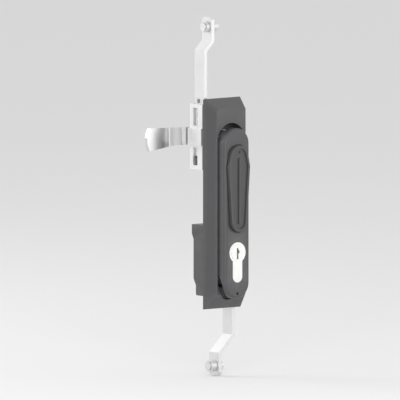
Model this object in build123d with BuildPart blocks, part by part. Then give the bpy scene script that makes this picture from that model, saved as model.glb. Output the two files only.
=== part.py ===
"""Swing handle lock for a sheet metal cabinet door, with a rack gear for two flat rods.

Units are millimetres. +Z is up and the face of the lock looks along -Y. The origin is on the
spindle axis, on the plane where the housing lies on the door.
"""

from build123d import *
from math import cos, pi, radians, sin, sqrt, tan
import os

os.makedirs("parts", exist_ok=True)

# ---- door and running clearances ----
door_sheet = 2.0          # thickness of the door sheet that the lock clamps
seal_proud = 0.5          # how far the seal stands out behind the housing
clamp_slack = 0.1         # left between the sheet and the bracket before the screws are tightened
fit_gap = 0.05            # radial play of a shaft in its bore
play = 0.4                # free gap between pieces that slide past each other

# ---- housing dish ----
dish_half = 19.9
dish_top = 31.5
dish_bottom = -140.9
dish_depth = 12.3
bevel_side = 4.7
bevel_top = 8.1
bevel_bottom = 12.4
floor = 2.5
pocket_half = 14.3
pocket_top = 11.8
pocket_bottom = -133.4

# ---- handle ----
handle_half = 13.3
handle_top = 8.0
handle_bottom = -132.0
handle_front = 20.0
handle_back = 3.3
handle_wall = 2.4
handle_round = 2.6
lift_angle = 30.0
pivot_depth = 8.5
pivot_d = 4.0
knuckle_r = 5.2
knuckle_half = 6.5

# ---- raised grip panel on the handle ----
grip_rise = 3.6
grip_top = -6.0
grip_wide_z = -23.3
grip_wide_half = 11.0
grip_bottom = -77.0
grip_top_half = 8.8
grip_low_half = 8.0
grip_rim = 1.5
grip_sink = 1.2
grip_rib = 2.0
groove = 0.9

# ---- profile cylinder ----
cyl_z = -94.0
cyl_r = 8.5
cyl_web = 10.0
cyl_drop = 33.0
cyl_length = 40.0
plug_r = 6.6
key_gap = 1.7
cam_reach = 13.5
cam_half = 3.0
cam_thick = 4.0

# ---- rear box for the cylinder ----
box_half = 12.0
box_wall = 1.8
box_top = -73.0
box_shoulder = -83.0
box_step = -121.6
box_bottom = -131.0
box_depth = 22.4
bump_depth = 24.6
step_depth = 18.5
window_half = 10.0
window_top = -84.5
window_bottom = -124.0

# ---- spindle and gear ----
spindle_r = 6.0
square = 8.0
gear_teeth = 16
pitch_r = 14.9
tooth_rise = 1.4
tooth_root = 12.6
gear_front = 6.0
gear_thick = 5.0

# ---- flat rods ----
rod_wide = 12.0
rod_thick = 3.0
window_open = 3.5
upper_bend_z = 69.8
upper_bend = 7.8
upper_top = 97.7
lower_bend_z = -163.5
lower_bend = 14.2
lower_bottom = -196.6
rod_tail = 16.0
roller_inset = 8.0
roller_r = 4.4
axle_r = 2.2

# ---- gear bracket ----
bracket_half = 18.5
bracket_high = 26.8
bracket_sheet = 1.6
bracket_back = 19.1
saddle_high = 7.0
saddle_out = 1.4
slot_near = 9.0
slot_far = 23.5
screw_z = 21.5
screw_r = 2.0

# ---- tongue ----
tongue_thick = 3.0
tongue_reach = 58.0
tongue_root = 14.4
tongue_tip = 15.5
tongue_set = 4.5
crank_start = 21.0
crank_end = 37.0

door_back = seal_proud + door_sheet + clamp_slack
rod_front = door_back + 0.1
rod_mid = rod_front + rod_wide / 2
tongue_front = bracket_back + saddle_out + play


tooth_pitch = 2 * pi * pitch_r / gear_teeth
gear_mid = gear_front + gear_thick / 2
journal_r = square / sqrt(2) + fit_gap
box_inside = box_depth - box_wall
cyl_back = cyl_length - handle_front
body_back = cyl_back - cam_thick - play
bend_shift = rod_thick * tan(pi / 8)


def front_plane(depth):
    """The plane that looks forward, at a height above the door."""
    return Plane(origin=(0, -depth, 0), x_dir=(1, 0, 0), z_dir=(0, -1, 0))


def pill(half, top, bottom):
    """A slot outline that stands upright in the open sketch."""
    with Locations((0, (top + bottom) / 2)):
        SlotOverall(top - bottom, 2 * half, rotation=90)


def cylinder_outline(extra):
    """The outline of a profile cylinder: a round head with a narrow web below it."""
    with Locations((0, cyl_z)):
        Circle(cyl_r + extra)
    pill(cyl_web / 2 + extra, cyl_z, cyl_z + cyl_r - cyl_drop - extra)


def grip_outline(extra):
    """The outline of the raised panel: widest near the top, narrowing to a round foot."""
    top_half = grip_top_half + extra
    wide_half = grip_wide_half + extra
    low_half = grip_low_half + extra
    top = grip_top + extra
    foot = grip_bottom + low_half - extra
    shoulder = top - top_half * 0.75
    with BuildLine() as edge:
        ThreePointArc((-top_half, shoulder), (0, top), (top_half, shoulder))
        Line((top_half, shoulder), (wide_half, grip_wide_z))
        Line((wide_half, grip_wide_z), (low_half, foot))
        ThreePointArc((low_half, foot), (0, foot - low_half), (-low_half, foot))
        Line((-low_half, foot), (-wide_half, grip_wide_z))
        Line((-wide_half, grip_wide_z), (-top_half, shoulder))
    make_face(edge.edges())


# ---- housing: a shallow dish with bevelled sides and a long pocket for the handle ----
with BuildPart() as housing:
    with BuildSketch(front_plane(0)):
        with Locations((0, (dish_top + dish_bottom) / 2)):
            Rectangle(2 * dish_half, dish_top - dish_bottom)
    with BuildSketch(front_plane(dish_depth)):
        with Locations((0, (dish_top - bevel_top + dish_bottom + bevel_bottom) / 2)):
            Rectangle(
                2 * (dish_half - bevel_side),
                dish_top - bevel_top - dish_bottom - bevel_bottom,
            )
    loft(ruled=True)
    fillet(housing.edges().filter_by(lambda e: e.length < 18), 1.2)
    with BuildSketch(front_plane(floor)):
        pill(pocket_half, pocket_top, pocket_bottom)
    extrude(amount=dish_depth, mode=Mode.SUBTRACT)
    with BuildSketch(front_plane(floor)):
        pill(window_half, window_top, window_bottom)
        Circle(spindle_r + fit_gap)
    extrude(amount=-floor, mode=Mode.SUBTRACT)
housing.part.label = "housing"
export_step(housing.part, "parts/housing.step")

# ---- seal between the housing and the door ----
with BuildPart() as gasket:
    with BuildSketch(front_plane(0)):
        with Locations((0, (dish_top + dish_bottom) / 2)):
            RectangleRounded(2 * dish_half - 2, dish_top - dish_bottom - 2, 3)
            RectangleRounded(2 * dish_half - 7, dish_top - dish_bottom - 7, 1, mode=Mode.SUBTRACT)
    extrude(amount=-seal_proud)
gasket.part.label = "gasket"
export_step(gasket.part, "parts/gasket.step")

# ---- box behind the housing that takes the tail of the cylinder ----
with BuildPart() as cylinder_box:
    with BuildSketch(Plane.YZ.offset(-box_half)):
        Polygon(
            (0, box_top),
            (bump_depth - 1.2, box_top),
            (bump_depth, box_top - 2),
            (bump_depth, box_shoulder + 4.5),
            (box_depth, box_shoulder),
            (box_depth, box_step + 6),
            (step_depth, box_step - 1),
            (step_depth, box_bottom + 1),
            (step_depth - 1, box_bottom),
            (0, box_bottom),
            align=None,
        )
    extrude(amount=2 * box_half)
    fillet(cylinder_box.edges().filter_by(Axis.Z).sort_by(Axis.Y)[-4:], 1.5)
    with BuildSketch(Plane.YZ.offset(-box_half + box_wall)):
        Polygon(
            (0, window_top),
            (box_inside, window_top),
            (box_inside, box_step + 1.2),
            (step_depth - box_wall, box_step - 0.5),
            (step_depth - box_wall, box_bottom + box_wall),
            (0, box_bottom + box_wall),
            align=None,
        )
    extrude(amount=2 * (box_half - box_wall), mode=Mode.SUBTRACT)
    with BuildSketch(Plane.YZ.offset(0)):
        with Locations(((body_back + box_inside) / 2, cyl_z - cam_half)):
            Rectangle(box_inside - body_back, 2 * cam_reach - 8)
    extrude(amount=box_half + 1, mode=Mode.SUBTRACT)
cylinder_box.part.label = "cylinder_box"
export_step(cylinder_box.part, "parts/cylinder_box.step")

# ---- knuckle that carries the handle's pivot ----
with BuildPart() as pivot_boss:
    with BuildSketch(Plane.YZ.offset(-knuckle_half)):
        with Locations((-pivot_depth, 0)):
            Circle(knuckle_r)
        Polygon(
            (-pivot_depth, 3), (-floor, 3), (-floor, -6), (-pivot_depth, -knuckle_r), align=None
        )
        with Locations((-pivot_depth, 0)):
            Circle(pivot_d / 2 + fit_gap, mode=Mode.SUBTRACT)
    extrude(amount=2 * knuckle_half)
pivot_boss.part.label = "pivot_boss"
export_step(pivot_boss.part, "parts/pivot_boss.step")

# ---- bush that carries the spindle behind the housing ----
with BuildPart() as spindle_bush:
    with BuildSketch(front_plane(0)):
        Circle(spindle_r + 3.2)
        Circle(spindle_r + fit_gap, mode=Mode.SUBTRACT)
    extrude(amount=-(gear_front - play))
spindle_bush.part.label = "spindle_bush"
export_step(spindle_bush.part, "parts/spindle_bush.step")

# ---- two threaded pillars between the housing and the bracket ----
with BuildPart() as bracket_pillars:
    with BuildSketch(front_plane(0)):
        with Locations((0, screw_z), (0, -screw_z)):
            RegularPolygon(3.6, 6, major_radius=False)
            Circle(screw_r, mode=Mode.SUBTRACT)
    extrude(amount=-(bracket_back - bracket_sheet))
bracket_pillars.part.label = "bracket_pillars"
export_step(bracket_pillars.part, "parts/bracket_pillars.step")

# ---- gear bracket: a steel channel over the two rods ----
with BuildPart() as gear_bracket:
    with BuildSketch(Plane.XY.offset(-bracket_high)):
        with Locations((0, (door_back + bracket_back) / 2)):
            Rectangle(2 * bracket_half, bracket_back - door_back)
        with Locations((0, (door_back + bracket_back) / 2 - bracket_sheet)):
            Rectangle(
                2 * (bracket_half - bracket_sheet), bracket_back - door_back, mode=Mode.SUBTRACT
            )
    extrude(amount=2 * bracket_high)
    fillet(gear_bracket.edges().filter_by(Axis.Z).sort_by(Axis.Y)[-2:], 1.2)
    with BuildSketch(Plane.YZ.offset(-bracket_half - 1)):
        with Locations(
            (gear_mid + 3, (slot_near + slot_far) / 2), (gear_mid + 3, -(slot_near + slot_far) / 2)
        ):
            Rectangle(5.6, slot_far - slot_near)
    extrude(amount=2 * bracket_half + 2, mode=Mode.SUBTRACT)
    with BuildSketch(front_plane(-bracket_back)):
        Circle(journal_r + fit_gap)
        with Locations((0, screw_z), (0, -screw_z)):
            Circle(screw_r + 0.15)
    extrude(amount=bracket_sheet, mode=Mode.SUBTRACT)
gear_bracket.part.label = "gear_bracket"
export_step(gear_bracket.part, "parts/gear_bracket.step")

# ---- saddle: a strap folded around the bracket at the spindle ----
with BuildPart() as bearing_saddle:
    with BuildSketch(Plane.XY.offset(-saddle_high)):
        with Locations((0, (door_back + bracket_back + saddle_out) / 2)):
            Rectangle(2 * (bracket_half + saddle_out), bracket_back + saddle_out - door_back)
        with Locations((0, (door_back + bracket_back) / 2)):
            Rectangle(2 * bracket_half, bracket_back - door_back, mode=Mode.SUBTRACT)
    extrude(amount=2 * saddle_high)
    fillet(bearing_saddle.edges().filter_by(Axis.Z).sort_by(Axis.Y)[-2:], 1.2)
    with BuildSketch(front_plane(-bracket_back - saddle_out)):
        Circle(journal_r + fit_gap)
    extrude(amount=saddle_out, mode=Mode.SUBTRACT)
bearing_saddle.part.label = "bearing_saddle"
export_step(bearing_saddle.part, "parts/bearing_saddle.step")

# ---- two screws that hold the bracket to its pillars ----
with BuildPart() as bracket_screws:
    with BuildSketch(front_plane(-bracket_back)):
        with Locations((0, screw_z), (0, -screw_z)):
            Circle(screw_r)
    extrude(amount=12)
    with BuildSketch(front_plane(-bracket_back)):
        with Locations((0, screw_z), (0, -screw_z)):
            Circle(3.5)
    extrude(amount=-1.2)
    with BuildSketch(front_plane(-bracket_back - 1.2)):
        with Locations((0, screw_z), (0, -screw_z)):
            RegularPolygon(1.5, 6)
    extrude(amount=0.8, mode=Mode.SUBTRACT)
bracket_screws.part.label = "bracket_screws"
export_step(bracket_screws.part, "parts/bracket_screws.step")

# ---- handle: a hollow cover with a rounded front edge, open at the back ----
chamfer_reach = pivot_depth - floor - play
chamfer_y = (chamfer_reach - (handle_top + 1) * sin(radians(lift_angle))) / cos(radians(lift_angle))
chamfer_z = (
    chamfer_reach - (pivot_depth - handle_back) * cos(radians(lift_angle))
) / sin(radians(lift_angle))
with BuildPart() as handle:
    with BuildSketch(front_plane(handle_back)):
        pill(handle_half, handle_top, handle_bottom)
    extrude(amount=handle_front - handle_back)
    fillet(handle.faces().sort_by(Axis.Y)[0].edges(), handle_round)
    with BuildSketch(front_plane(handle_back)):
        pill(handle_half - handle_wall, handle_top - handle_wall, handle_bottom + handle_wall)
    extrude(amount=handle_front - handle_back - handle_wall, mode=Mode.SUBTRACT)
    with BuildSketch(front_plane(handle_front - handle_wall)):
        pill(cyl_r + 1.8, cyl_z + cyl_r + 3, cyl_z + cyl_r - cyl_drop - 1.8)
        with Locations((0, -127.7)):
            Circle(3)
    extrude(amount=-9)
    with BuildSketch(Plane.YZ.offset(-handle_half + 0.8)):
        with Locations((-pivot_depth, 0)):
            Circle(knuckle_r - play)
        with Locations(((-pivot_depth - handle_front + handle_wall) / 2, 0)):
            Rectangle(handle_front - handle_wall - pivot_depth, 2 * knuckle_r - 2 * play)
    extrude(amount=2 * handle_half - 1.6)
    with BuildSketch(front_plane(0)):
        pill(handle_half, handle_top, handle_bottom)
    extrude(amount=handle_front, mode=Mode.INTERSECT)
    with BuildSketch(Plane.YZ.offset(-knuckle_half - play)):
        with Locations((-pivot_depth, 0)):
            Circle(handle_front - handle_wall - pivot_depth)
    extrude(amount=2 * (knuckle_half + play), mode=Mode.SUBTRACT)
    with BuildSketch(Plane.YZ.offset(-handle_half - 1)):
        Polygon(
            (-handle_back + 1, chamfer_z - 1),
            (-handle_back, chamfer_z),
            (-pivot_depth + chamfer_y, handle_top + 1),
            (-handle_back + 1, handle_top + 1),
            align=None,
        )
    extrude(amount=2 * handle_half + 2, mode=Mode.SUBTRACT)
    with BuildSketch(Plane.YZ.offset(-handle_half - 1)):
        Polygon(
            (-handle_back + 1, -112),
            (-dish_depth, -112.5),
            (-handle_front + 3.2, -120.5),
            (-handle_front + 3.2, -127),
            (-dish_depth - 0.6, handle_bottom - 0.5),
            (-handle_back + 1, handle_bottom - 0.5),
            align=None,
        )
    extrude(amount=2 * handle_half + 2, mode=Mode.SUBTRACT)
    with BuildSketch(Plane.YZ.offset(-pivot_d * 3)):
        with Locations((-pivot_depth, 0)):
            Circle(pivot_d / 2)
    extrude(amount=pivot_d * 6, mode=Mode.SUBTRACT)
    with BuildSketch(front_plane(handle_front)):
        cylinder_outline(0.15)
    extrude(amount=-handle_front, mode=Mode.SUBTRACT)
    with BuildSketch(front_plane(handle_front)):
        grip_outline(groove)
    extrude(amount=-1.2, mode=Mode.SUBTRACT)
    with BuildSketch(front_plane(handle_front)):
        with Locations((0, -127.7)):
            Circle(1.2)
    extrude(amount=-1.5, mode=Mode.SUBTRACT)
handle.part.label = "handle"
export_step(handle.part, "parts/handle.step")

# ---- raised grip panel with a rim, a sunken field and a middle rib ----
with BuildPart() as grip_panel:
    with BuildSketch(front_plane(handle_front - 1.2)):
        grip_outline(0)
    extrude(amount=grip_rise + 1.2)
    fillet(grip_panel.faces().sort_by(Axis.Y)[0].edges(), 0.9)
    with BuildSketch(front_plane(handle_front + grip_rise)):
        grip_outline(-grip_rim - 0.9)
        with Locations((0, (grip_top + grip_bottom) / 2 - 2)):
            SlotOverall(54, grip_rib, rotation=90, mode=Mode.SUBTRACT)
    extrude(amount=-grip_sink, mode=Mode.SUBTRACT)
    with BuildSketch(front_plane(handle_front + grip_rise)):
        with Locations((0, grip_top - 5.5)):
            Circle(1.1)
    extrude(amount=-2, mode=Mode.SUBTRACT)
grip_panel.part.label = "grip_panel"
export_step(grip_panel.part, "parts/grip_panel.step")

# ---- pin on which the handle swings out ----
with BuildPart() as pivot_pin:
    with BuildSketch(Plane.YZ.offset(-pivot_d * 3 + 0.2)):
        with Locations((-pivot_depth, 0)):
            Circle(pivot_d / 2)
    extrude(amount=pivot_d * 6 - 0.4)
pivot_pin.part.label = "pivot_pin"
export_step(pivot_pin.part, "parts/pivot_pin.step")

# ---- profile cylinder with its turning plug and cam ----
with BuildPart() as cylinder_body:
    with BuildSketch(front_plane(handle_front + 0.2)):
        cylinder_outline(0)
        with Locations((0, cyl_z)):
            Circle(plug_r + fit_gap, mode=Mode.SUBTRACT)
    extrude(amount=-(handle_front + 0.2 + body_back))
cylinder_body.part.label = "cylinder_body"
export_step(cylinder_body.part, "parts/cylinder_body.step")

with BuildPart() as key_plug:
    with BuildSketch(front_plane(handle_front + 0.4)):
        with Locations((0, cyl_z)):
            Circle(plug_r)
    extrude(amount=-(handle_front + 0.4 + body_back + play))
    with BuildSketch(front_plane(handle_front + 0.4)):
        with Locations((0, cyl_z - 0.8)):
            Rectangle(key_gap, 9)
        with Locations((key_gap * 0.6, cyl_z + 0.6)):
            Rectangle(key_gap, 2.4)
    extrude(amount=-24, mode=Mode.SUBTRACT)
key_plug.part.label = "key_plug"
export_step(key_plug.part, "parts/key_plug.step")

with BuildPart() as cylinder_cam:
    with BuildSketch(front_plane(-body_back - play)):
        with Locations((0, cyl_z)):
            Circle(plug_r + 0.9)
        pill(cam_half, cyl_z, cyl_z - cam_reach)
    extrude(amount=-(cam_thick - play))
cylinder_cam.part.label = "cylinder_cam"
export_step(cylinder_cam.part, "parts/cylinder_cam.step")

# ---- spindle with a round journal and a square for the gear and the tongue ----
tongue_back = tongue_front + tongue_thick
with BuildPart() as spindle:
    with BuildSketch(front_plane(floor - play)):
        Circle(spindle_r)
    extrude(amount=-(floor - play + gear_front - play))
    with BuildSketch(front_plane(-gear_front + play)):
        Rectangle(square, square)
    extrude(amount=-(tongue_back - gear_front))
    with BuildSketch(front_plane(-bracket_back + bracket_sheet + 0.3)):
        Circle(journal_r)
    extrude(amount=-(bracket_sheet + saddle_out + 0.2))
    with BuildSketch(front_plane(-tongue_back + play)):
        Circle(2.5)
    extrude(amount=12, mode=Mode.SUBTRACT)
spindle.part.label = "spindle"
export_step(spindle.part, "parts/spindle.step")

# ---- pinion whose stub teeth enter the windows of both rods ----
with BuildPart() as pinion:
    with BuildSketch(front_plane(-gear_front)):
        Circle(tooth_root)
        with PolarLocations(0, gear_teeth):
            Polygon(
                (tooth_root - 1.5, 1.6),
                (pitch_r - 1.5, 1.42),
                (pitch_r + tooth_rise, 0.85),
                (pitch_r + tooth_rise, -0.85),
                (pitch_r - 1.5, -1.42),
                (tooth_root - 1.5, -1.6),
                align=None,
            )
        Rectangle(square + 0.1, square + 0.1, mode=Mode.SUBTRACT)
    extrude(amount=-gear_thick)
pinion.part.label = "pinion"
export_step(pinion.part, "parts/pinion.step")

# ---- tongue: a cranked strip behind the bracket ----
with BuildPart() as tongue:
    with BuildSketch(Plane.XY.offset(-14)):
        with BuildLine():
            Line((9, tongue_front), (-crank_start, tongue_front))
            Bezier(
                (-crank_start, tongue_front),
                (-(crank_start + crank_end) / 2, tongue_front),
                (-(crank_start + crank_end) / 2, tongue_front + tongue_set),
                (-crank_end, tongue_front + tongue_set),
            )
            Line((-crank_end, tongue_front + tongue_set), (-tongue_reach, tongue_front + tongue_set))
            Line((-tongue_reach, tongue_front + tongue_set), (-tongue_reach, tongue_back + tongue_set))
            Line((-tongue_reach, tongue_back + tongue_set), (-crank_end, tongue_back + tongue_set))
            Bezier(
                (-crank_end, tongue_back + tongue_set),
                (-(crank_start + crank_end) / 2, tongue_back + tongue_set),
                (-(crank_start + crank_end) / 2, tongue_back),
                (-crank_start, tongue_back),
            )
            Line((-crank_start, tongue_back), (9, tongue_back))
            Line((9, tongue_back), (9, tongue_front))
        make_face()
    extrude(amount=28)
    with BuildSketch(front_plane(-tongue_front + 1)):
        with BuildLine():
            Line((0, tongue_root / 2), (3 - tongue_reach, tongue_tip / 2))
            ThreePointArc(
                (3 - tongue_reach, tongue_tip / 2),
                (-tongue_reach, -1.6),
                (3 - tongue_reach, -tongue_tip / 2 - 3.3),
            )
            Line((3 - tongue_reach, -tongue_tip / 2 - 3.3), (-28, -tongue_root / 2))
            Line((-28, -tongue_root / 2), (0, -tongue_root / 2))
            ThreePointArc((0, -tongue_root / 2), (tongue_root / 2, 0), (0, tongue_root / 2))
        make_face()
        Rectangle(square + 0.1, square + 0.1, mode=Mode.SUBTRACT)
    extrude(amount=-tongue_thick - tongue_set - 2, mode=Mode.INTERSECT)
tongue.part.label = "tongue"
export_step(tongue.part, "parts/tongue.step")

with BuildPart() as tongue_washer:
    with BuildSketch(front_plane(-tongue_back)):
        Circle(6.8)
        Circle(2.5, mode=Mode.SUBTRACT)
    extrude(amount=-1.2)
tongue_washer.part.label = "tongue_washer"
export_step(tongue_washer.part, "parts/tongue_washer.step")

with BuildPart() as tongue_screw:
    with BuildSketch(front_plane(-tongue_back - 1.2)):
        Circle(2.5)
    extrude(amount=11)
    with BuildSketch(front_plane(-tongue_back - 1.2)):
        RegularPolygon(4, 6, major_radius=False)
    extrude(amount=-2.8)
tongue_screw.part.label = "tongue_screw"
export_step(tongue_screw.part, "parts/tongue_screw.step")

# ---- flat rods: straight bars with gear windows, cranked to the middle of the lock ----
upper_in = -(pitch_r - rod_thick / 2)
upper_out = upper_in - rod_thick
with BuildPart() as upper_rod:
    with BuildSketch(front_plane(-rod_front)):
        Polygon(
            (upper_out, -rod_tail),
            (upper_out, upper_bend_z + bend_shift),
            (upper_out + upper_bend, upper_bend_z + upper_bend + bend_shift),
            (upper_out + upper_bend, upper_top),
            (upper_in + upper_bend, upper_top),
            (upper_in + upper_bend, upper_bend_z + upper_bend),
            (upper_in, upper_bend_z),
            (upper_in, -rod_tail),
            align=None,
        )
    extrude(amount=-rod_wide)
    fillet(upper_rod.edges().filter_by(Axis.X).sort_by(Axis.Z)[-2:], 3)
    with BuildSketch(Plane.YZ.offset(upper_out - 1)):
        with Locations(*[(gear_mid, k * tooth_pitch) for k in range(-1, 6)]):
            Rectangle(gear_thick + 1, window_open)
    extrude(amount=rod_thick + 2, mode=Mode.SUBTRACT)
    with BuildSketch(Plane.YZ.offset(upper_out + upper_bend - 1)):
        with Locations((rod_mid, upper_top - roller_inset)):
            Circle(axle_r)
    extrude(amount=rod_thick + 2, mode=Mode.SUBTRACT)
upper_rod.part.label = "upper_rod"
export_step(upper_rod.part, "parts/upper_rod.step")

lower_in = -upper_in
lower_out = -upper_out
with BuildPart() as lower_rod:
    with BuildSketch(front_plane(-rod_front)):
        Polygon(
            (lower_out, rod_tail),
            (lower_out, lower_bend_z - bend_shift),
            (lower_out - lower_bend, lower_bend_z - lower_bend - bend_shift),
            (lower_out - lower_bend, lower_bottom),
            (lower_in - lower_bend, lower_bottom),
            (lower_in - lower_bend, lower_bend_z - lower_bend),
            (lower_in, lower_bend_z),
            (lower_in, rod_tail),
            align=None,
        )
    extrude(amount=-rod_wide)
    fillet(lower_rod.edges().filter_by(Axis.X).sort_by(Axis.Z)[:2], 3)
    with BuildSketch(Plane.YZ.offset(lower_in - 1)):
        with Locations(*[(gear_mid, k * tooth_pitch) for k in range(-5, 2)]):
            Rectangle(gear_thick + 1, window_open)
    extrude(amount=rod_thick + 2, mode=Mode.SUBTRACT)
    with BuildSketch(Plane.YZ.offset(lower_in - lower_bend - 1)):
        with Locations((rod_mid, lower_bottom + roller_inset)):
            Circle(axle_r)
    extrude(amount=rod_thick + 2, mode=Mode.SUBTRACT)
lower_rod.part.label = "lower_rod"
export_step(lower_rod.part, "parts/lower_rod.step")


def disc_along_x(left, width, radius, height):
    """A round disc whose axis runs along X."""
    with BuildSketch(Plane.YZ.offset(left)) as face:
        with Locations((rod_mid, height)):
            Circle(radius)
    extrude(face.sketch, amount=width)


def riveted_axle(left, right, height):
    """The three discs of an axle along X: a head, the shaft and a head."""
    disc_along_x(left, 0.9, axle_r + 1.1, height)
    disc_along_x(left, right - left, axle_r, height)
    disc_along_x(right - 0.9, 0.9, axle_r + 1.1, height)


def roller_ring(left, width, height):
    """A plain roller around an axle along X."""
    with BuildSketch(Plane.YZ.offset(left)) as face:
        with Locations((rod_mid, height)):
            Circle(roller_r)
            Circle(axle_r + fit_gap, mode=Mode.SUBTRACT)
    extrude(face.sketch, amount=width)


# ---- axles riveted through the rod ends, with a roller on each side ----
wide_roller = 5.5
slim_roller = 3.0
side_gap = 0.3
upper_z = upper_top - roller_inset
lower_z = lower_bottom + roller_inset
upper_left = upper_out + upper_bend
upper_right = upper_in + upper_bend
lower_left = lower_in - lower_bend
lower_right = lower_out - lower_bend

with BuildPart() as upper_axle:
    riveted_axle(
        upper_left - slim_roller - 2 * side_gap - 0.9,
        upper_right + wide_roller + 2 * side_gap + 0.9,
        upper_z,
    )
upper_axle.part.label = "upper_axle"
export_step(upper_axle.part, "parts/upper_axle.step")

with BuildPart() as lower_axle:
    riveted_axle(
        lower_left - wide_roller - 2 * side_gap - 0.9,
        lower_right + slim_roller + 2 * side_gap + 0.9,
        lower_z,
    )
lower_axle.part.label = "lower_axle"
export_step(lower_axle.part, "parts/lower_axle.step")

with BuildPart() as upper_left_roller:
    roller_ring(upper_left - side_gap - slim_roller, slim_roller, upper_z)
upper_left_roller.part.label = "upper_left_roller"
export_step(upper_left_roller.part, "parts/upper_left_roller.step")

with BuildPart() as upper_right_roller:
    roller_ring(upper_right + side_gap, wide_roller, upper_z)
upper_right_roller.part.label = "upper_right_roller"
export_step(upper_right_roller.part, "parts/upper_right_roller.step")

with BuildPart() as lower_left_roller:
    roller_ring(lower_left - side_gap - wide_roller, wide_roller, lower_z)
lower_left_roller.part.label = "lower_left_roller"
export_step(lower_left_roller.part, "parts/lower_left_roller.step")

with BuildPart() as lower_right_roller:
    roller_ring(lower_right + side_gap, slim_roller, lower_z)
lower_right_roller.part.label = "lower_right_roller"
export_step(lower_right_roller.part, "parts/lower_right_roller.step")
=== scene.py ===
# %% [markdown]
# A swing handle lock for a cabinet door: a black dish with a lever in it, a nickel key cylinder,
# a cranked steel tongue and two flat rods. The solids already have their true shapes, so this
# lesson loads them, gives each one a finish, and sets up the floor, the lamps and the view.

# %% Load the solids
import math

import bpy
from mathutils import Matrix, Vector


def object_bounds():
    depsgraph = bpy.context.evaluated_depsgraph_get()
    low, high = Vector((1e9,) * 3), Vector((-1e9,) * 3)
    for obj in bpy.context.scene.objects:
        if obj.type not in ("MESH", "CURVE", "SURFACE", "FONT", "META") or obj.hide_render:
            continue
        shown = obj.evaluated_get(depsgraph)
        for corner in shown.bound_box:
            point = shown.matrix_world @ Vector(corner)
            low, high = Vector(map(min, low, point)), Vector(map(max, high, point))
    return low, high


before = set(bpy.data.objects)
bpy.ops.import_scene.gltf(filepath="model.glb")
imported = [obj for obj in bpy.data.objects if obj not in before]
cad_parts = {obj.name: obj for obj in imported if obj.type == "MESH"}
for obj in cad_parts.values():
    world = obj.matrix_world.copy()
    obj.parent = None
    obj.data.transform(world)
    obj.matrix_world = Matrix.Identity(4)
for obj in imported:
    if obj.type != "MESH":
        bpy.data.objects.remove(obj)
cad_low, cad_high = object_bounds()

# %% [markdown]
# Three effects serve more than one finish. Powder coat and moulded plastic have a fine pebble,
# rolled steel has long lines along its grain, and every exposed edge is a little lighter, a
# painted highlight. Each effect is a small node group, so each finish sets its own amounts.


# %% Helpers for node trees
def new_group(name, inputs, outputs):
    """A shader node group with named float or colour sockets, and its two end nodes."""
    group = bpy.data.node_groups.new(name, "ShaderNodeTree")
    for label, kind, value in inputs:
        socket = group.interface.new_socket(label, in_out="INPUT", socket_type=kind)
        if value is not None:
            socket.default_value = value
    for label, kind in outputs:
        group.interface.new_socket(label, in_out="OUTPUT", socket_type=kind)
    return group, group.nodes.new("NodeGroupInput"), group.nodes.new("NodeGroupOutput")


def node(tree, kind, **values):
    """One node with its plain properties set."""
    made = tree.nodes.new(kind)
    for label, value in values.items():
        setattr(made, label, value)
    return made


def math_node(tree, operation, first, second):
    """A Math node whose inputs are numbers or other sockets."""
    made = node(tree, "ShaderNodeMath", operation=operation)
    for place, value in enumerate((first, second)):
        if isinstance(value, (int, float)):
            made.inputs[place].default_value = value
        else:
            tree.links.new(value, made.inputs[place])
    return made.outputs[0]


FLOAT, COLOUR, VECTOR = "NodeSocketFloat", "NodeSocketColor", "NodeSocketVector"


# %% The pebble of a coated or moulded surface
def build_pebble():
    """Height = fine noise; patch = very broad noise."""
    group, ins, outs = new_group(
        "pebble",
        [("Size", FLOAT, 1800.0)],
        [("Height", FLOAT), ("Patch", FLOAT)],
    )
    place = node(group, "ShaderNodeTexCoord")
    fine = node(group, "ShaderNodeTexNoise")
    fine.inputs["Detail"].default_value = 3.0
    broad = node(group, "ShaderNodeTexNoise")
    broad.inputs["Scale"].default_value = 28.0
    broad.inputs["Detail"].default_value = 4.0
    group.links.new(place.outputs["Object"], fine.inputs["Vector"])
    group.links.new(place.outputs["Object"], broad.inputs["Vector"])
    group.links.new(ins.outputs["Size"], fine.inputs["Scale"])
    group.links.new(fine.outputs["Fac"], outs.inputs["Height"])
    group.links.new(broad.outputs["Fac"], outs.inputs["Patch"])
    return group


pebble = build_pebble()
print("group:", pebble.name)


# %% The lines of rolled or brushed metal
def build_lines():
    """Height = noise squeezed across the grain, so it reads as long fine lines along Z or X."""
    group, ins, outs = new_group(
        "grain_lines",
        [("Stretch", VECTOR, None)],
        [("Height", FLOAT), ("Patch", FLOAT)],
    )
    place = node(group, "ShaderNodeTexCoord")
    scaled = node(group, "ShaderNodeVectorMath", operation="MULTIPLY")
    fine = node(group, "ShaderNodeTexNoise")
    fine.inputs["Scale"].default_value = 1.0
    fine.inputs["Detail"].default_value = 2.0
    broad = node(group, "ShaderNodeTexNoise")
    broad.inputs["Scale"].default_value = 45.0
    group.links.new(place.outputs["Object"], scaled.inputs[0])
    group.links.new(ins.outputs["Stretch"], scaled.inputs[1])
    group.links.new(scaled.outputs[0], fine.inputs["Vector"])
    group.links.new(place.outputs["Object"], broad.inputs["Vector"])
    group.links.new(fine.outputs["Fac"], outs.inputs["Height"])
    group.links.new(broad.outputs["Fac"], outs.inputs["Patch"])
    return group


grain_lines = build_lines()
print("group:", grain_lines.name)
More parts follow.
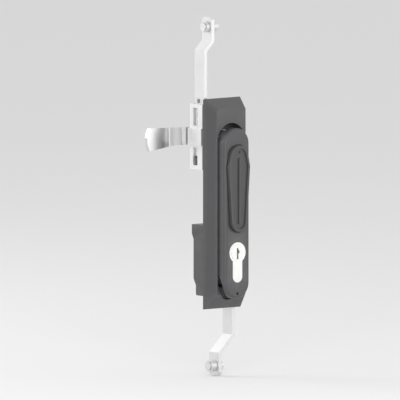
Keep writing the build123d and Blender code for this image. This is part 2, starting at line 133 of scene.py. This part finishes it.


# %% Painted highlight on edges
def build_edge_highlight():
    """Painted highlight mask = how sharply the surface turns outwards, times a broken-up noise.
    """
    group, ins, outs = new_group("painted_edge_highlight", [("Amount", FLOAT, 0.3)], [("Mask", FLOAT)])
    shape = node(group, "ShaderNodeNewGeometry")
    ramp = node(group, "ShaderNodeMapRange")
    ramp.inputs["From Min"].default_value = 0.53
    ramp.inputs["From Max"].default_value = 0.66
    place = node(group, "ShaderNodeTexCoord")
    noise = node(group, "ShaderNodeTexNoise")
    noise.inputs["Scale"].default_value = 160.0
    group.links.new(shape.outputs["Pointiness"], ramp.inputs["Value"])
    group.links.new(place.outputs["Object"], noise.inputs["Vector"])
    broken = math_node(group, "MULTIPLY", ramp.outputs[0], noise.outputs["Fac"])
    amount = math_node(group, "MULTIPLY", broken, ins.outputs["Amount"])
    group.links.new(amount, outs.inputs["Mask"])
    return group


painted_edge_highlight = build_edge_highlight()
print("group:", painted_edge_highlight.name)

# %% [markdown]
# Each finish is a Principled shader. The group's height drives a bump, its broad patch moves the
# colour and the roughness a little, and the edge mask paints a lighter highlight tone at the
# edges.


# %% One function for every finish
def make_finish(name, colour, highlight_colour, rough, metal, group, setting, bump, highlight_amount=0.3, spread=0.06):
    """Colour = base to painted highlight by edge mask, times 1 +- spread by patch; roughness =
    rough +- spread.
    """
    finish = bpy.data.materials.new(name)
    finish.use_nodes = True
    tree = finish.node_tree
    shader = tree.nodes["Principled BSDF"]
    shader.inputs["Metallic"].default_value = metal
    surface = node(tree, "ShaderNodeGroup", node_tree=group)
    surface.inputs[0].default_value = setting
    edges = node(tree, "ShaderNodeGroup", node_tree=painted_edge_highlight)
    edges.inputs[0].default_value = highlight_amount
    # The edge mask paints a lighter highlight tone into the colour at sharp outward edges.
    blend = node(tree, "ShaderNodeMix", data_type="RGBA")
    blend.inputs["A"].default_value = (*colour, 1)
    blend.inputs["B"].default_value = (*highlight_colour, 1)
    tree.links.new(edges.outputs["Mask"], blend.inputs["Factor"])
    shade = node(tree, "ShaderNodeMapRange")
    shade.inputs["To Min"].default_value = 1 - spread
    shade.inputs["To Max"].default_value = 1 + spread
    tree.links.new(surface.outputs["Patch"], shade.inputs["Value"])
    tint = node(tree, "ShaderNodeVectorMath", operation="SCALE")
    tree.links.new(blend.outputs["Result"], tint.inputs[0])
    tree.links.new(shade.outputs[0], tint.inputs["Scale"])
    tree.links.new(tint.outputs[0], shader.inputs["Base Color"])
    matt = node(tree, "ShaderNodeMapRange")
    matt.inputs["To Min"].default_value = rough - spread
    matt.inputs["To Max"].default_value = rough + spread
    tree.links.new(surface.outputs["Patch"], matt.inputs["Value"])
    tree.links.new(matt.outputs[0], shader.inputs["Roughness"])
    relief = node(tree, "ShaderNodeBump")
    relief.inputs["Strength"].default_value = bump
    relief.inputs["Distance"].default_value = 0.0001
    tree.links.new(surface.outputs["Height"], relief.inputs["Height"])
    tree.links.new(relief.outputs["Normal"], shader.inputs["Normal"])
    return finish


# The second colour of each finish is the tone of its painted edge highlight.
BLACK = (0.062, 0.062, 0.065)
BLACK_HIGHLIGHT = (0.16, 0.16, 0.165)
black_coat = make_finish("black_coat", BLACK, BLACK_HIGHLIGHT, 0.42, 0, pebble, 2600, 0.25, 0.8)
black_plastic = make_finish(
    "black_plastic", (0.058, 0.058, 0.06), BLACK_HIGHLIGHT, 0.5, 0, pebble, 1500, 0.3, 0.7
)
seal_rubber = make_finish(
    "seal_rubber", (0.02, 0.02, 0.02), (0.05, 0.05, 0.05), 0.75, 0, pebble, 900, 0.3
)
STEEL = (0.66, 0.66, 0.665)
BRIGHT = (0.85, 0.85, 0.85)
zinc_along = make_finish(
    "zinc_steel_along", STEEL, BRIGHT, 0.42, 0.75, grain_lines, (2500, 2500, 60), 0.12
)
zinc_plain = make_finish("zinc_steel", STEEL, BRIGHT, 0.4, 0.75, pebble, 1200, 0.08)
bracket_zinc = make_finish(
    "bracket_zinc", (0.72, 0.72, 0.72), BRIGHT, 0.45, 0.6, grain_lines, (2500, 2500, 60), 0.08
)
tongue_steel = make_finish(
    "tongue_steel", (0.6, 0.6, 0.6), BRIGHT, 0.2, 1.0, grain_lines, (60, 2500, 2500), 0.04
)
nickel = make_finish("nickel", (0.75, 0.75, 0.73), BRIGHT, 0.36, 0.7, pebble, 2200, 0.06)
bush_brass = make_finish(
    "bush_brass", (0.62, 0.45, 0.2), (0.8, 0.62, 0.3), 0.35, 1.0,
    grain_lines, (2500, 60, 2500), 0.08,
)
roller_plastic = make_finish(
    "roller_plastic", (0.62, 0.62, 0.62), BRIGHT, 0.4, 0.5, pebble, 1400, 0.1
)

FINISH = {
    "housing": black_coat, "handle": black_coat, "pivot_boss": black_coat,
    "grip_panel": black_plastic, "cylinder_box": black_plastic, "gasket": seal_rubber,
    "upper_rod": zinc_along, "lower_rod": zinc_along, "gear_bracket": bracket_zinc,
    "bearing_saddle": bracket_zinc, "bracket_pillars": zinc_plain, "bracket_screws": zinc_plain,
    "pivot_pin": zinc_plain, "cylinder_cam": zinc_plain, "spindle": zinc_plain,
    "pinion": zinc_plain, "tongue_washer": zinc_plain, "tongue_screw": zinc_plain,
    "upper_axle": zinc_plain, "lower_axle": zinc_plain, "cylinder_body": nickel,
    "key_plug": nickel, "tongue": tongue_steel, "spindle_bush": bush_brass,
    "upper_left_roller": roller_plastic, "upper_right_roller": roller_plastic,
    "lower_left_roller": roller_plastic, "lower_right_roller": roller_plastic,
}
for name, finish in FINISH.items():
    part = bpy.data.objects[name]
    for place in part.material_slots:
        place.material = finish
    if not part.material_slots:
        part.data.materials.append(finish)
print("finished", len(FINISH), "nodes")

# %% [markdown]
# The floor is pale and the background is plain white. The floor lies just under the lower rod.
# The lamps are broad, so the dish shows soft steps between its faces, and the key light stands
# at the front left, where it rounds the edge of the lever.

# %% Floor, background and lamps
FLOOR_GAP = 0.0005
FLOOR_REACH = 6.0
floor_z = cad_low[2] - FLOOR_GAP
plane = bpy.data.meshes.new("floor")
corners = [(-1, -1), (1, -1), (1, 1), (-1, 1)]
plane.from_pydata(
    [(FLOOR_REACH * x, FLOOR_REACH * y, floor_z) for x, y in corners], [], [(0, 1, 2, 3)]
)
ground = bpy.data.objects.new("floor", plane)
bpy.context.collection.objects.link(ground)


def white_for_eyes(tree, normal_shader, out):
    """Shader = plain white for camera, glossy and transmission rays, else the normal one."""
    path = node(tree, "ShaderNodeLightPath")
    mirrored, through = path.outputs["Is Glossy Ray"], path.outputs["Is Transmission Ray"]
    seen = math_node(tree, "MAXIMUM", mirrored, through)
    seen = math_node(tree, "MAXIMUM", seen, path.outputs["Is Camera Ray"])
    white = node(tree, "ShaderNodeBackground")
    white.inputs["Color"].default_value = (1, 1, 1, 1)
    white.inputs["Strength"].default_value = 1.0
    pick = node(tree, "ShaderNodeMixShader")
    tree.links.new(seen, pick.inputs[0])
    tree.links.new(normal_shader, pick.inputs[1])
    tree.links.new(white.outputs[0], pick.inputs[2])
    tree.links.new(pick.outputs[0], out.inputs["Surface"])


pale = bpy.data.materials.new("pale_floor")
pale.use_nodes = True
floor_shader = pale.node_tree.nodes["Principled BSDF"]
floor_shader.inputs["Base Color"].default_value = (0.86, 0.86, 0.86, 1)
floor_shader.inputs["Roughness"].default_value = 0.8
plane.materials.append(pale)

world = bpy.data.worlds.new("soft_room")
bpy.context.scene.world = world
world.use_nodes = True
room = world.node_tree.nodes["Background"]
room.inputs["Color"].default_value = (1, 1, 1, 1)
room.inputs["Strength"].default_value = 0.75
white_for_eyes(world.node_tree, room.outputs[0], world.node_tree.nodes["World Output"])


def area_lamp(name, place, aim, size, power):
    """A square lamp at a place, turned to face the aim."""
    data = bpy.data.lights.new(name, "AREA")
    data.size = size
    data.energy = power
    lamp = bpy.data.objects.new(name, data)
    bpy.context.collection.objects.link(lamp)
    lamp.location = place
    lamp.rotation_euler = (Vector(aim) - Vector(place)).to_track_quat("-Z", "Y").to_euler()


middle = (0, 0, (cad_low[2] + cad_high[2]) / 2)
area_lamp("key_lamp", (-0.9, -1.1, 0.35), middle, 0.8, 9)
area_lamp("fill_lamp", (0.9, -1.2, 0.0), middle, 1.0, 4)
area_lamp("back_lamp", (-0.6, 1.2, 0.5), middle, 0.9, 6)

# %% [markdown]
# The view is from the front left and a little above, through a long lens, so the upright edges
# stay parallel. An orthographic camera gives just that.

# %% Camera
AZIMUTH, ELEVATION = math.radians(40.0), math.radians(5.3)
FRAME_WIDTH, CAMERA_DISTANCE = 0.3266, 1.6
back = Vector((
    -math.sin(AZIMUTH) * math.cos(ELEVATION),
    -math.cos(AZIMUTH) * math.cos(ELEVATION),
    math.sin(ELEVATION),
))
lens = bpy.data.cameras.new("camera")
lens.type = "ORTHO"
lens.ortho_scale = FRAME_WIDTH
camera = bpy.data.objects.new("camera", lens)
bpy.context.collection.objects.link(camera)
aim = Vector((-0.0231, 0.0, -0.0509))
camera.location = aim + back * CAMERA_DISTANCE
camera.rotation_euler = back.to_track_quat("Z", "Y").to_euler()
bpy.context.scene.camera = camera
bpy.context.scene.view_settings.view_transform = "Standard"
print("camera at", [round(v, 3) for v in camera.location])
